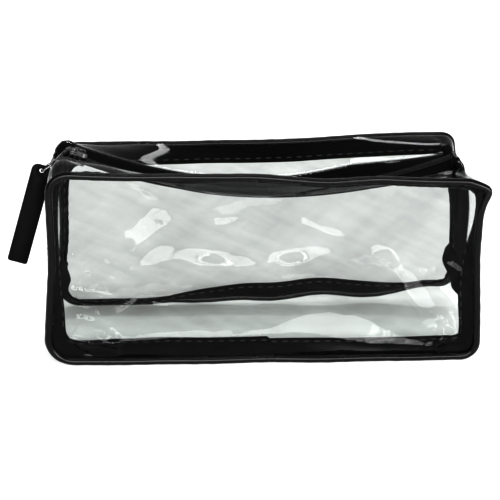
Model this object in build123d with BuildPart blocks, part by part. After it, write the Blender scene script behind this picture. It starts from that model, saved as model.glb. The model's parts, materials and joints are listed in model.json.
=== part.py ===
"""A box-shaped clear vinyl makeup bag with piped seams and a zipper across its top.

X runs along the bag, Y from its front to its rear, Z up from the surface it stands on.
The origin is the centre of the base. All sizes are in millimetres.
"""

from build123d import *
from math import asin, cos, degrees, radians, sin, sqrt
import os

# Bag
length = 230.0  # over the piping, along the base
depth = 84.0  # over the piping
height = 104.0  # over the piping
left_lean = 5.0  # how far the left end leans in at its top
corner_r = 12.0  # of the seam line
vinyl = 0.5
bead_d = 4.0  # piping
filler_d = 2.4  # cord inside the piping
sleeve_bore = 2.6

# Binding over the seam allowances, standing inward at 45 degrees
binding_w = 10.0
binding_t = 1.6

# Zipper: a sagging chain whose middle follows one circle
chain_r = 278.0
chain_x = 4.0  # the circle's centre
chain_left = -103.3  # where the chain turns down over each end
chain_right = 107.0
chain_left_z = 105.0
tape_w = 30.0  # both halves
tape_t = 0.6
tape_gap = 1.2  # between the halves
coil_w = 2.4
coil_t = 1.5
fold_left = {"fold_reach": 2.6, "fold_r": 1.5, "foot_lean": 5.5}  # over the left corner
fold_right = {"fold_reach": 5.5, "fold_r": 3.5, "foot_lean": 0.5}  # over the right corner
lip_x = 89.5  # half the length of the mouth
mouth_gap = 0.5  # between a lip and the fixed stretch beside it
cross_seam_z = 41.0
cross_gap = 1.0

# Slider and its pull
slider_rest_x = -98.5
slider_end_x = 100.0
slider_l = 9.5
slider_w = 8.6
plate_t = 1.0
wire_d = 1.2
bail_end = (-110.6, 101.4)
tab_hole = (-117.4, 96.6)
tab_end = (-133.3, 44.1)
tab_w = 11.0
tab_t = 2.0
tab_head = 3.2  # tab beyond its hole
tab_hole_d = 3.2

seam_x = (length - bead_d) / 2
seam_y = (depth - bead_d) / 2
seam_low = bead_d / 2
seam_high = height - bead_d / 2
wall_y = seam_y - 1.6  # edge of the gusset and strips, beside the bead
tape_edge = tape_w / 2

chain_z = chain_left_z + sqrt(chain_r**2 - (chain_x - chain_left) ** 2)

front = Plane(origin=(0, 0, 0), x_dir=(1, 0, 0), z_dir=(0, -1, 0))


def chain_angle(x):
    """Angle along the chain's circle of the point at x, in degrees from its lowest point."""
    return degrees(asin((x - chain_x) / chain_r))


def chain_height(x):
    """Height of the tape's middle at x."""
    return chain_z - sqrt(chain_r**2 - (x - chain_x) ** 2)


def front_face(inset, y):
    """The bag's outline seen from the front, inset from the seam line, at a depth of y."""
    with BuildSketch(front.offset(-y)) as face:
        with BuildLine():
            Polyline(
                (-seam_x, seam_low),
                (seam_x, seam_low),
                (seam_x, seam_high),
                (left_lean - seam_x, seam_high),
                close=True,
            )
        make_face()
        fillet(face.vertices(), corner_r)
        offset(amount=-inset)
    return face.sketch


def write(piece, name):
    """Label a finished piece and write its file."""
    piece.part.label = name
    export_step(piece.part, f"parts/{name}.step")


def write_pair(piece, name):
    """Write a piece of the front half, and its mirror image in the rear half."""
    write(piece, "front_" + name)
    with BuildPart() as rear_piece:
        mirror(piece.part, about=Plane.XZ)
    write(rear_piece, "rear_" + name)


os.makedirs("parts", exist_ok=True)

# ---- Front and rear panels

panel_gap = 0.05
with BuildPart() as panel:
    extrude(front_face(bead_d / 2 + panel_gap, -seam_y - vinyl / 2), amount=-vinyl)
write_pair(panel, "panel")

# ---- Piping: a vinyl sleeve round a filler cord, along each panel's seam

seam_path = front_face(0, -seam_y).wire()
seam_start = Plane(origin=seam_path @ 0, z_dir=seam_path % 0)

with BuildPart() as piping:
    with BuildSketch(seam_start):
        Circle(bead_d / 2)
        Circle(sleeve_bore / 2, mode=Mode.SUBTRACT)
    sweep(path=seam_path)
write_pair(piping, "piping")

with BuildPart() as filler:
    with BuildSketch(seam_start):
        Circle(filler_d / 2)
    sweep(path=seam_path)
write_pair(filler, "piping_cord")

# ---- Binding over each seam's allowances: a 45 degree funnel with a constant wall

binding_start = 2.1  # from the seam, along Y
binding_run = binding_w / sqrt(2)
binding_half = binding_t / sqrt(2)  # half the wall, measured square to Y


def funnel(half_wall):
    """A 45 degree funnel through the seam line, moved outward by half_wall."""
    near = binding_start
    far = binding_start + binding_run
    return loft(
        [
            front_face(near - half_wall, near - seam_y),
            front_face(far - half_wall, far - seam_y),
        ],
        ruled=True,
        mode=Mode.PRIVATE,
    )


with BuildPart() as binding:
    add(funnel(binding_half))
    add(funnel(-binding_half), mode=Mode.SUBTRACT)
write_pair(binding, "binding")

# ---- Gusset: one strip that makes the base and the lower half of both ends


def wall_ring(y_from, y_to):
    """A vinyl wall flush with the piping's outside, all round the bag."""
    outer = extrude(front_face(-bead_d / 2, y_from), amount=y_from - y_to, mode=Mode.PRIVATE)
    inner = extrude(
        front_face(vinyl - bead_d / 2, y_from), amount=y_from - y_to, mode=Mode.PRIVATE
    )
    return outer - inner


with BuildPart() as gusset:
    add(wall_ring(-wall_y, wall_y))
    split(bisect_by=Plane.XY.offset(cross_seam_z - cross_gap), keep=Keep.BOTTOM)
write(gusset, "bottom_gusset")

# ---- Upper strips between the seams and the zipper, over the corners and down both ends

strip_gap = 0.4
with BuildPart() as strip_ends:
    add(wall_ring(-wall_y, -tape_edge - strip_gap))
    split(bisect_by=Plane.XY.offset(cross_seam_z + cross_gap), keep=Keep.TOP)
    with BuildSketch(front):
        with Locations((0, height)):
            Rectangle(2 * (lip_x + mouth_gap), 3 * corner_r)
    extrude(amount=depth, both=True, mode=Mode.SUBTRACT)
write_pair(strip_ends, "strip_ends")

# ---- Upper strips along the mouth, sagging towards the zipper

with BuildPart() as lip_strip:
    for x in (-lip_x, -lip_x / 2, 0, lip_x / 2, lip_x):
        with BuildSketch(Plane.YZ.offset(x)):
            with BuildLine():
                Polyline(
                    (0.5 - wall_y, height),
                    (-tape_edge - strip_gap, chain_height(x) + vinyl / 2),
                    (-tape_edge - strip_gap, chain_height(x) - vinyl / 2),
                    (0.5 - wall_y, height - vinyl),
                    close=True,
                )
            make_face()
    loft()
write_pair(lip_strip, "lip_strip")

# ---- Zipper tape: a half on each lip, and the stretches that turn down over both ends


def chain_arc(x_from, x_to, rise):
    """The chain's circle between two x values, raised by rise."""
    start = 270 + chain_angle(x_from)
    sweep_angle = chain_angle(x_to) - chain_angle(x_from)
    return CenterArc((chain_x, chain_z), chain_r - rise, start, sweep_angle)


def chain_band(x_from, x_to, low, high):
    """A face along the chain, between two heights over the tape's middle."""
    with BuildSketch(front) as band:
        with BuildLine():
            under = chain_arc(x_from, x_to, low)
            over = chain_arc(x_from, x_to, high)
            Line(under @ 0, over @ 0)
            Line(under @ 1, over @ 1)
        make_face()
    return band.sketch


def tape_end(x_from, x_to, fold_reach, fold_r, foot_lean):
    """The tape from the mouth along the chain, over the top corner and down the end.

    fold_reach is how far the corner lies past the chain's end, and foot_lean is how far
    the foot stands out past the corner.
    """
    side = 1 if x_to > x_from else -1
    slope = radians(abs(chain_angle(x_to)))
    end_z = chain_height(x_to)
    fold = (x_to + side * fold_reach * cos(slope), end_z + fold_reach * sin(slope))
    foot = (fold[0] + side * foot_lean, cross_seam_z + cross_gap)
    with BuildSketch(front) as band:
        with BuildLine():
            chain_arc(min(x_from, x_to), max(x_from, x_to), 0)
            FilletPolyline((x_to, end_z), fold, foot, radius=fold_r)
        trace(line_width=tape_t)
    return band.sketch


def across(face, y_from, y_to):
    """A solid from a front face, running through the bag between two depths."""
    moved = face.moved(Location((0, y_from, 0)))
    return extrude(moved, amount=y_from - y_to)


half_gap = tape_gap / 2
with BuildPart() as lip_tape:
    add(across(chain_band(-lip_x, lip_x, -tape_t / 2, tape_t / 2), -tape_edge, -half_gap))
write_pair(lip_tape, "lip_tape")

with BuildPart() as tape_ends:
    left = tape_end(-lip_x - mouth_gap, chain_left, **fold_left)
    right = tape_end(lip_x + mouth_gap, chain_right, **fold_right)
    add(across(left, -tape_edge, -half_gap))
    add(across(right, -tape_edge, -half_gap))
write_pair(tape_ends, "tape_ends")

# ---- Coil: a solid band for each half, standing on its tape

coil_low = tape_t / 2 + 0.05
coil_high = coil_low + coil_t
stop_l = 1.6
coil_right = chain_right - stop_l - 0.1
with BuildPart() as lip_coil:
    add(across(chain_band(-lip_x, lip_x, coil_low, coil_high), -half_gap - coil_w, -half_gap))
write_pair(lip_coil, "lip_coil")

with BuildPart() as coil_ends:
    left_coil = chain_band(chain_left, -lip_x - mouth_gap, coil_low, coil_high)
    right_coil = chain_band(lip_x + mouth_gap, coil_right, coil_low, coil_high)
    add(across(left_coil, -half_gap - coil_w, -half_gap))
    add(across(right_coil, -half_gap - coil_w, -half_gap))
write_pair(coil_ends, "coil_ends")

# ---- Bottom stop: a metal staple across the end of the coil

stop_w = 2 * (half_gap + coil_w) + 0.6
stop_high = coil_high + 0.35
with BuildPart() as bottom_stop:
    staple = chain_band(chain_right - stop_l, chain_right, coil_low, stop_high)
    add(across(staple, -stop_w / 2, stop_w / 2))
write(bottom_stop, "bottom_stop")

# ---- Cross seam on each end, where the zipper's strips meet the gusset

bar_half_y = wall_y - binding_run - 1.0
bar_l = 10.0


def wall_x(side, z):
    """Outer face of an end wall at a height."""
    lean = left_lean * (z - seam_low) / (seam_high - seam_low) if side < 0 else 0
    return side * (length / 2 - lean)


for side, name in ((-1, "left_cross_binding"), (1, "right_cross_binding")):
    bar_x = wall_x(side, cross_seam_z) - side * bar_l / 2
    with BuildPart(Plane.XY.offset(cross_seam_z)) as cross_binding:
        with Locations((bar_x, 0, 0)):
            Box(bar_l, 2 * bar_half_y, binding_t)
    write(cross_binding, name)

# ---- Slider: two plates joined by a wedge, with side flanges and a bridge for the bail

channel_low = -tape_t / 2 - 0.35
channel_high = coil_high + 0.35
plate_top = channel_high + plate_t
bridge_high = plate_top + 2.9
bridge_hole_high = bridge_high - 0.9
bridge_half = 3.4
bridge_hole_half = 2.5
bridge_t = 1.6
bridge_r = 1.2
pivot_u = -1.4
pivot_w = plate_top + 1.0

slider_tilt = chain_angle(slider_rest_x)
slider_frame = Plane(
    origin=(slider_rest_x, 0, chain_height(slider_rest_x)),
    x_dir=(cos(radians(slider_tilt)), 0, sin(radians(slider_tilt))),
    z_dir=(-sin(radians(slider_tilt)), 0, cos(radians(slider_tilt))),
)
slider_side = Plane(slider_frame.origin, slider_frame.x_dir, -slider_frame.y_dir)

plate_r = 1.8
flange_t = 0.8
flange_low = tape_t / 2 + 0.35
wedge_t = tape_gap - 0.6

with BuildPart() as slider:
    for low in (channel_low - plate_t, channel_high):
        with BuildSketch(slider_frame.offset(low)):
            RectangleRounded(slider_l, slider_w, plate_r)
        extrude(amount=plate_t)
    with BuildSketch(slider_frame.offset(flange_low)):
        with GridLocations(0, slider_w - flange_t, 1, 2):
            Rectangle(slider_l - 2 * plate_r, flange_t)
    extrude(amount=channel_high - flange_low)
    with BuildSketch(slider_frame.offset(channel_low)):
        Rectangle(slider_l - 3.0, wedge_t)
    extrude(amount=channel_high - channel_low)
    with BuildSketch(slider_side):
        with BuildLine():
            FilletPolyline(
                (-bridge_half, plate_top),
                (-bridge_half, bridge_high),
                (bridge_half, bridge_high),
                (bridge_half, plate_top),
                radius=bridge_r,
            )
            Line((bridge_half, plate_top), (-bridge_half, plate_top))
        make_face()
        with Locations((0, (plate_top + bridge_hole_high) / 2)):
            Rectangle(2 * bridge_hole_half, bridge_hole_high - plate_top, mode=Mode.SUBTRACT)
    extrude(amount=bridge_t / 2, both=True)
write(slider, "slider_body")

# ---- Bail: a fork round the bridge that runs off the slider and bends down to an eye

bail_t = 1.1
bail_half_y = 2.1
fork_inner = 1.05
eye_half_y = 0.9
eye_hole_d = 2.0
eye_d = 3.8
knee_r = 2.2
neck = 1.2  # thin stretch between the eye and the fork
fork_from = 0.05  # as parts of the bail's length
fork_to = 0.6
pivot = slider_side.from_local_coords((pivot_u, pivot_w, 0))
knee = slider_side.from_local_coords((-6.2, pivot_w, 0))

with BuildPart() as bail:
    with BuildSketch(front):
        with BuildLine() as bail_line:
            FilletPolyline((pivot.X, pivot.Z), (knee.X, knee.Z), bail_end, radius=knee_r)
        trace(line_width=bail_t)
        with Locations((pivot.X, pivot.Z)):
            Circle(bail_t / 2)
        with Locations(bail_end):
            Circle(eye_d / 2)
    extrude(amount=bail_half_y, both=True)
    with BuildSketch(front):
        with BuildLine():
            Line(bail_line.line @ fork_from, bail_line.line @ fork_to)
        trace(line_width=4 * bail_t)
    extrude(amount=fork_inner, both=True, mode=Mode.SUBTRACT)
    with BuildSketch(front):
        with Locations(bail_end):
            Circle(eye_hole_d / 2)
    extrude(amount=bail_half_y, both=True, mode=Mode.SUBTRACT)
    for side in (-1, 1):
        with BuildSketch(front.offset(side * bail_half_y)):
            with Locations(bail_end):
                Circle(eye_d / 2 + neck)
        extrude(amount=side * (eye_half_y - bail_half_y), mode=Mode.SUBTRACT)
write(bail, "bail")

# ---- Ring: an oval of wire from the bail's eye to the tab's hole

ring_reach = Vector(tab_hole[0] - bail_end[0], 0, tab_hole[1] - bail_end[1])
ring_mid = Vector((bail_end[0] + tab_hole[0]) / 2, 0, (bail_end[1] + tab_hole[1]) / 2)
ring_inner_y = 2.0
ring_r = ring_inner_y + wire_d / 2
ring_plane = Plane(ring_mid, x_dir=ring_reach, z_dir=ring_reach.cross(Vector(0, 1, 0)))
with BuildPart() as ring:
    with BuildSketch(ring_plane, mode=Mode.PRIVATE) as oval:
        SlotOverall(ring_reach.length, 2 * ring_r)
    oval_path = oval.sketch.wire()
    with BuildSketch(Plane(origin=oval_path @ 0, z_dir=oval_path % 0)):
        Circle(wire_d / 2)
    sweep(path=oval_path)
write(ring, "pull_ring")

# ---- Tab: a flat strap with a hole for the ring

tab_run = Vector(tab_end[0] - tab_hole[0], 0, tab_end[1] - tab_hole[1])
tab_l = tab_run.length + tab_head
tab_frame = Plane((tab_hole[0], 0, tab_hole[1]), x_dir=tab_run, z_dir=(0, -1, 0))
with BuildPart() as tab:
    with BuildSketch(tab_frame):
        with Locations((tab_l / 2 - tab_head, 0)):
            RectangleRounded(tab_l, tab_w, 1.2)
        Circle(tab_hole_d / 2, mode=Mode.SUBTRACT)
    extrude(amount=tab_t / 2, both=True)
write(tab, "pull_tab")
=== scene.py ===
"""Looks of a clear vinyl makeup bag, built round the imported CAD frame.

Shapes are worked out in millimetres, in the frame's axes, and turned into metres when a
mesh is made. X runs along the bag, -Y is its front and Z is up.
"""

import json
from math import radians

import bmesh
import bpy
import numpy as np
from mathutils import Matrix, Vector

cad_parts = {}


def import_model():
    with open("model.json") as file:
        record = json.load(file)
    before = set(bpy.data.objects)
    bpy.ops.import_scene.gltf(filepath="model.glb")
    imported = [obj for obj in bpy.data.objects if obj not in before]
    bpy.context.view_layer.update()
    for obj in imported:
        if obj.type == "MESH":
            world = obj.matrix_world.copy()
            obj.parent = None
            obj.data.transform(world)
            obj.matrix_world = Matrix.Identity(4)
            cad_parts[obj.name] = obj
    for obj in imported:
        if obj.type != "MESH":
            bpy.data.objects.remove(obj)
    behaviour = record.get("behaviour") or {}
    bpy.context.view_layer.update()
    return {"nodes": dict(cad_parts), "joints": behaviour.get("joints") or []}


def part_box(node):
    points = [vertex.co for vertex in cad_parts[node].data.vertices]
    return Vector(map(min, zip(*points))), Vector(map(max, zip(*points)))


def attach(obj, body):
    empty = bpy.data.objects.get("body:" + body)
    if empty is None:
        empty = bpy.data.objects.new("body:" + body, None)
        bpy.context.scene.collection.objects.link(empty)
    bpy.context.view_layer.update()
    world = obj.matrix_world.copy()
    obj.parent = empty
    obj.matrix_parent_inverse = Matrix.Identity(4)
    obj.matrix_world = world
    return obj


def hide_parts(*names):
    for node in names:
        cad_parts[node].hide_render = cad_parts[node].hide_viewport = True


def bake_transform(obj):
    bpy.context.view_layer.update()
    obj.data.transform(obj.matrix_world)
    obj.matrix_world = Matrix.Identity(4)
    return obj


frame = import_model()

MM = 0.001
# The places of six points round a thread or a wire
SIX_TURNS = np.linspace(0, 2 * np.pi, 6, endpoint=False)

# ---- Sizes, from the frame where it holds them

PIPING_LOW, PIPING_HIGH = (np.array(c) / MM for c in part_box("front_piping"))
SEAM_Y = (PIPING_LOW[1] + PIPING_HIGH[1]) / 2  # the front seam, below 0
BEAD_R = (PIPING_HIGH[1] - PIPING_LOW[1]) / 2
FILLER_R = 1.2
CROSS_LOW, CROSS_HIGH = (np.array(c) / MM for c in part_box("left_cross_binding"))
CROSS_Z = (CROSS_LOW[2] + CROSS_HIGH[2]) / 2
travel = next(j for j in frame["joints"] if j["name"] == "slider_travel")
CHAIN_X, CHAIN_Z = travel["pos_m"][0] / MM, travel["pos_m"][2] / MM
CHAIN_R = 278.0  # the chain sags along this circle
CHAIN_LEFT, CHAIN_RIGHT = -103.3, 107.0  # where the chain turns down over the ends

# Each corner of a seam: its place and its radius, in order round the bag from the lower left
FRONT_SEAM = [
    (-115.2, 2.0, 13.0),
    (116.4, 2.0, 8.0),
    (112.6, 62.0, 90.0),
    (112.6, 86.0, 30.0),
    (117.2, 97.2, 1.6),
    (106.0, 101.6, 9.0),
    (60.0, 103.2, 120.0),
    (33.0, 101.8, 120.0),
    (-5.0, 105.0, 160.0),
    (-60.0, 105.2, 200.0),
    (-110.6, 107.0, 10.0),
    (-110.2, 60.0, 200.0),
]
REAR_SEAM = [
    (-114.6, 2.0, 11.0),
    (118.0, 4.4, 9.0),
    (116.2, 50.0, 120.0),
    (114.4, 80.0, 120.0),
    (112.8, 94.0, 30.0),
    (111.2, 103.6, 7.0),
    (60.0, 102.4, 160.0),
    (33.0, 100.4, 160.0),
    (-5.0, 99.2, 160.0),
    (-60.0, 98.9, 200.0),
    (-110.6, 98.6, 9.0),
    (-110.6, 52.0, 160.0),
]
# Where the rear seam rises off the floor along its base: x, width, height
REAR_LIFTS = [(40, 20, 4.0), (104, 24, 8.0), (-8, 14, 1.6), (-50, 9, 1.0)]
FRONT_TURNS = (0, 1, 4, 10)  # the corners between bottom, right, top and left
REAR_TURNS = (0, 1, 5, 10)
ARC_STEPS = 9  # samples round each corner
SIDE_STEPS = 152  # samples along the bottom and the top
END_STEPS = 72  # and up each end


# ---- Small helpers


def bump(x, middle, width):
    """A smooth hump of height 1."""
    return np.exp(-(((x - middle) / width) ** 2))


def ease(x, low, high):
    """0 below low, 1 above high, smooth between them."""
    t = np.clip((np.asarray(x, float) - low) / (high - low), 0, 1)
    return t * t * (3 - 2 * t)


def waves(a, b, seed, count=6, size=1.0):
    """A sum of a few seeded plane waves of two coordinates, from -1 to 1 or so."""
    rng = np.random.default_rng(seed)
    total = np.zeros(np.broadcast(a, b).shape)
    for _ in range(count):
        turn, rate, start = rng.uniform(0, np.pi), rng.uniform(0.6, 1.6), rng.uniform(0, 6.3)
        total += np.sin((np.cos(turn) * a + np.sin(turn) * b) * rate / size + start)
    return total / np.sqrt(count)


def rounded(corners):
    """Points round a closed outline of (x, z, radius) corners, ARC_STEPS of them at each corner."""
    pts = []
    place = np.array([c[:2] for c in corners], float)
    for i, here in enumerate(place):
        before = place[i - 1] - here
        after = place[(i + 1) % len(corners)] - here
        reach = min(np.linalg.norm(before), np.linalg.norm(after)) * 0.48
        before /= np.linalg.norm(before)
        after /= np.linalg.norm(after)
        turn = np.pi - np.arccos(np.clip(before @ after, -1, 1))
        cut = min(corners[i][2] * np.tan(turn / 2), reach)
        start, end = here + before * cut, here + after * cut
        for t in np.linspace(0, 1, ARC_STEPS):
            # a conic through the cut points that is close to the arc of this turn
            w = np.cos(turn / 2)
            a, b, c = (1 - t) ** 2, 2 * w * t * (1 - t), t * t
            pts.append((a * start + b * here + c * end) / (a + b + c))
    return np.array(pts)


def distances(run):
    """How far along a run of points each of them is."""
    return np.r_[0, np.cumsum(np.linalg.norm(np.diff(run, axis=0), axis=1))]


def resample(pts, count):
    """count points evenly spaced along an open run of points."""
    along = distances(pts)
    at = np.linspace(0, along[-1], count)
    return np.stack([np.interp(at, along, pts[:, k]) for k in range(pts.shape[1])], -1)


def four_sides(corners, turns):
    """The seam's bottom, right, top and left runs, each evenly sampled, in order round the bag."""
    pts = rounded(corners)
    cuts = [i * ARC_STEPS + ARC_STEPS // 2 for i in turns]  # halfway round each turn
    ring = np.concatenate([pts, pts])
    sides = []
    for k, steps in enumerate((SIDE_STEPS, END_STEPS, SIDE_STEPS, END_STEPS)):
        a = cuts[k]
        b = cuts[(k + 1) % 4] + (len(pts) if k == 3 else 0)
        sides.append(resample(ring[a : b + 1], steps + 1))
    return sides


def smooth_ring(values, rounds):
    """Soften a closed ring of points a little, which takes the kinks out of its straight runs."""
    for _ in range(rounds):
        values = (np.roll(values, 1, 0) + 2 * values + np.roll(values, -1, 0)) / 4
    return values


SEAM_WAVE = 0.35  # how far a seam strays from its plane


class Seam:
    """One panel's seam: a closed ring of points, with its inward direction at each of them."""

    def __init__(self, corners, turns, y, seed, lifts):
        ring = np.concatenate([side[:-1] for side in four_sides(corners, turns)])
        ring = smooth_ring(ring, 2)
        near_base = 1 - ease(ring[:, 1], 4, 40)
        for middle, width, height in lifts:
            ring[:, 1] += height * bump(ring[:, 0], middle, width) * near_base
        self.count = len(ring)
        ahead = np.roll(ring, -1, 0) - np.roll(ring, 1, 0)
        ahead /= np.linalg.norm(ahead, axis=1)[:, None]
        self.inward = np.stack([-ahead[:, 1], ahead[:, 0]], -1)
        along = distances(ring)
        length = along[-1] + np.linalg.norm(ring[0] - ring[-1])
        turn = along / length * 2 * np.pi
        wave = np.sin(turn * 7 + seed) + np.sin(turn * 12 + 2.1 * seed)
        self.y = y + SEAM_WAVE * wave
        self.ring = ring

    def point(self, i, inset=0.0, deep=0.0):
        """The point i of the seam, moved inward across the panel and towards the bag's middle."""
        i = np.asarray(i) % self.count
        xz = self.ring[i] + self.inward[i] * np.asarray(inset)[..., None]
        side = 1 if self.y[0] < 0 else -1
        y = self.y[i] + side * np.asarray(deep)
        return np.stack([xz[..., 0], np.broadcast_to(y, xz[..., 0].shape), xz[..., 1]], -1)


# The ring's stretches, as numbers of its points
BOTTOM = (0, SIDE_STEPS)
RIGHT = (SIDE_STEPS, SIDE_STEPS + END_STEPS)
TOP = (RIGHT[1], RIGHT[1] + SIDE_STEPS)
LEFT = (TOP[1], TOP[1] + END_STEPS)


def grid_faces(rows, cols, closed_rows=False, closed_cols=False):
    """Quads over a grid of points, numbered row by row."""
    r = np.arange(rows if closed_rows else rows - 1)
    c = np.arange(cols if closed_cols else cols - 1)
    a, b = np.meshgrid(r, c, indexing="ij")
    a2, b2 = (a + 1) % rows, (b + 1) % cols
    return np.stack([a * cols + b, a2 * cols + b, a2 * cols + b2, a * cols + b2], -1).reshape(-1, 4)


def tube_faces(rows, sides, first=0):
    """Faces of a tube of rows of points, numbered from first, with a flat face at each end."""
    walls = grid_faces(rows, sides, closed_cols=True)[:, ::-1] + first
    last = first + (rows - 1) * sides
    ends = [range(first + sides - 1, first - 1, -1), range(last, last + sides)]
    return walls.tolist() + [list(end) for end in ends]


def add_piece(name, mesh, material):
    """A smooth-shaded object round a mesh."""
    mesh.polygons.foreach_set("use_smooth", [True] * len(mesh.polygons))
    mesh.materials.append(material)
    piece = bpy.data.objects.new(name, mesh)
    bpy.context.collection.objects.link(piece)
    return piece


def make(name, points, faces, material):
    """A piece from points in millimetres."""
    mesh = bpy.data.meshes.new(name)
    verts = (np.asarray(points, float).reshape(-1, 3) * MM).tolist()
    mesh.from_pydata(verts, [], [list(map(int, f)) for f in faces])
    mesh.validate()
    return add_piece(name, mesh, material)


def surface(name, grid, material):
    """One open sheet over a grid of points."""
    rows, cols = grid.shape[:2]
    return make(name, grid, grid_faces(rows, cols), material)


def slab(name, over, under, material):
    """A closed sheet with a thickness, between two grids of points."""
    rows, cols = over.shape[:2]
    n = rows * cols
    top = grid_faces(rows, cols)
    low = top[:, ::-1] + n
    k = np.arange(n).reshape(rows, cols)
    rim = np.concatenate([k[0, :-1], k[:-1, -1], k[-1, :0:-1], k[:0:-1, 0]])
    after = np.roll(rim, -1)
    side = np.stack([after, rim, rim + n, after + n], -1)
    points = np.concatenate([over.reshape(-1, 3), under.reshape(-1, 3)])
    return make(name, points, np.concatenate([top, low, side]), material)


def swept_ring(name, rings, material):
    """A closed tube: rings is (section points, points round the bag, 3)."""
    grid = np.swapaxes(rings, 0, 1)
    rows, cols = grid.shape[:2]
    faces = grid_faces(rows, cols, closed_rows=True, closed_cols=True)
    return make(name, grid, faces, material)


def capsules(ends, radius):
    """Points and faces of many short threads, each from one end to the other with rounded tips."""
    points, faces = [], []
    profile = [(0.12, 0.75), (0.3, 1.0), (0.7, 1.0), (0.88, 0.75)]  # place, share of the radius
    for a, b in ends:
        a, b = np.asarray(a, float), np.asarray(b, float)
        along = b - a
        d = along / np.linalg.norm(along)
        p = np.cross(d, [0.3, 0.2, 0.93])
        p /= np.linalg.norm(p)
        q = np.cross(d, p)
        faces += tube_faces(len(profile), len(SIX_TURNS), len(points))
        for at, share in profile:
            centre = a + along * at
            points += [centre + radius * share * (np.cos(t) * p + np.sin(t) * q) for t in SIX_TURNS]
    return np.array(points), faces


# ---- Materials


def material(name):
    """An empty node material with its output."""
    mat = bpy.data.materials.new(name)
    mat.use_nodes = True
    tree = mat.node_tree
    tree.nodes.clear()
    out = tree.nodes.new("ShaderNodeOutputMaterial")
    return mat, tree, out


def node(tree, kind, **settings):
    """A node with some of its sockets or properties set."""
    made = tree.nodes.new(kind)
    for key, value in settings.items():
        if key in made.inputs:
            made.inputs[key].default_value = value
        else:
            setattr(made, key, value)
    return made


def principled(tree, out, colour, roughness, **sockets):
    """A Principled shader wired to the output."""
    shader = node(tree, "ShaderNodeBsdfPrincipled")
    shader.inputs["Base Color"].default_value = (*colour, 1)
    shader.inputs["Roughness"].default_value = roughness
    for key, value in sockets.items():
        shader.inputs[key.replace("_", " ")].default_value = value
    tree.links.new(shader.outputs[0], out.inputs["Surface"])
    return shader


def noise(tree, scale, detail=3.0, stretch=None, turn=(0, 0, 0)):
    """Noise over object coordinates, in features per metre."""
    coords = node(tree, "ShaderNodeTexCoord")
    source = coords.outputs["Object"]
    if stretch:
        mapping = node(tree, "ShaderNodeMapping", vector_type="TEXTURE")
        mapping.inputs["Scale"].default_value = stretch
        mapping.inputs["Rotation"].default_value = turn
        tree.links.new(source, mapping.inputs["Vector"])
        source = mapping.outputs[0]
    tex = node(tree, "ShaderNodeTexNoise")
    tex.inputs["Scale"].default_value = scale
    tex.inputs["Detail"].default_value = detail
    tree.links.new(source, tex.inputs["Vector"])
    return tex.outputs["Fac"]


def bump_from(tree, height, strength, distance, under=None):
    """A bump node fed by a height."""
    made = node(tree, "ShaderNodeBump")
    made.inputs["Strength"].default_value = strength
    made.inputs["Distance"].default_value = distance
    tree.links.new(height, made.inputs["Height"])
    if under:
        tree.links.new(under, made.inputs["Normal"])
    return made.outputs[0]


def spread(tree, value, low, high):
    """A value mapped from 0..1 to low..high."""
    made = node(tree, "ShaderNodeMapRange")
    made.inputs["To Min"].default_value = low
    made.inputs["To Max"].default_value = high
    tree.links.new(value, made.inputs["Value"])
    return made.outputs[0]


VINYL_HUE = (0.985, 1.0, 0.992)  # very slightly green
HEAD_ON, GRAZING = 0.011, 0.8  # share reflected, facing the sheet and along it
GRAZING_POWER = 4.5


def shade_streaks(tree, scale, length, turn):
    """Long thin streaks of noise, turned in the panel's plane: painted shade for the dark lines along
    creases.
    """
    fac = noise(tree, scale, 5.0, stretch=(length, 1.0, 1.0), turn=(0, turn, 0))
    return spread(tree, fac, -1.1, 1.8)


def clear_vinyl(name, clearest, dullest):
    """Clear sheet: lightly tinted see-through with a wet gloss over fine ripples. Its tint darkens in
    noise streaks, painted shade for the dark lines that creases reflect, over a soft random haze.
    """
    mat, tree, out = material(name)
    through = node(tree, "ShaderNodeBsdfTransparent")
    soft = noise(tree, 26.0, 4.0)
    both = node(tree, "ShaderNodeMath", operation="ADD")
    # the streaks darken the tint: painted shade for the creases' dark reflections
    tree.links.new(shade_streaks(tree, 80.0, 5.0, -0.7), both.inputs[0])
    tree.links.new(shade_streaks(tree, 150.0, 7.0, 0.45), both.inputs[1])
    haze_and_shade = node(tree, "ShaderNodeMath", operation="MULTIPLY_ADD", use_clamp=True)
    haze_and_shade.inputs[1].default_value = 0.5
    tree.links.new(both.outputs[0], haze_and_shade.inputs[0])
    tree.links.new(spread(tree, soft, -0.1, 0.6), haze_and_shade.inputs[2])
    tint = node(tree, "ShaderNodeMix", data_type="RGBA")
    tint.inputs["A"].default_value = (*(dullest * c for c in VINYL_HUE), 1)
    tint.inputs["B"].default_value = (*(clearest * c for c in VINYL_HUE), 1)
    tree.links.new(haze_and_shade.outputs[0], tint.inputs["Factor"])
    tree.links.new(tint.outputs["Result"], through.inputs["Color"])
    gloss = node(tree, "ShaderNodeBsdfGlossy", distribution="BECKMANN")
    gloss.inputs["Color"].default_value = (1, 1, 1, 1)
    gloss.inputs["Roughness"].default_value = 0.085
    ripple = bump_from(tree, noise(tree, 60.0, 2.0), 0.22, 0.0012)
    fine = bump_from(tree, noise(tree, 420.0, 2.0), 0.05, 0.0003, ripple)
    tree.links.new(fine, gloss.inputs["Normal"])
    facing = node(tree, "ShaderNodeLayerWeight")
    facing.inputs["Blend"].default_value = 0.5
    tree.links.new(fine, facing.inputs["Normal"])
    power = node(tree, "ShaderNodeMath", operation="POWER")
    power.inputs[1].default_value = GRAZING_POWER
    tree.links.new(facing.outputs["Facing"], power.inputs[0])
    mix = node(tree, "ShaderNodeMixShader")
    tree.links.new(spread(tree, power.outputs[0], HEAD_ON, GRAZING), mix.inputs[0])
    tree.links.new(through.outputs[0], mix.inputs[1])
    tree.links.new(gloss.outputs[0], mix.inputs[2])
    tree.links.new(mix.outputs[0], out.inputs["Surface"])
    return mat


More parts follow.
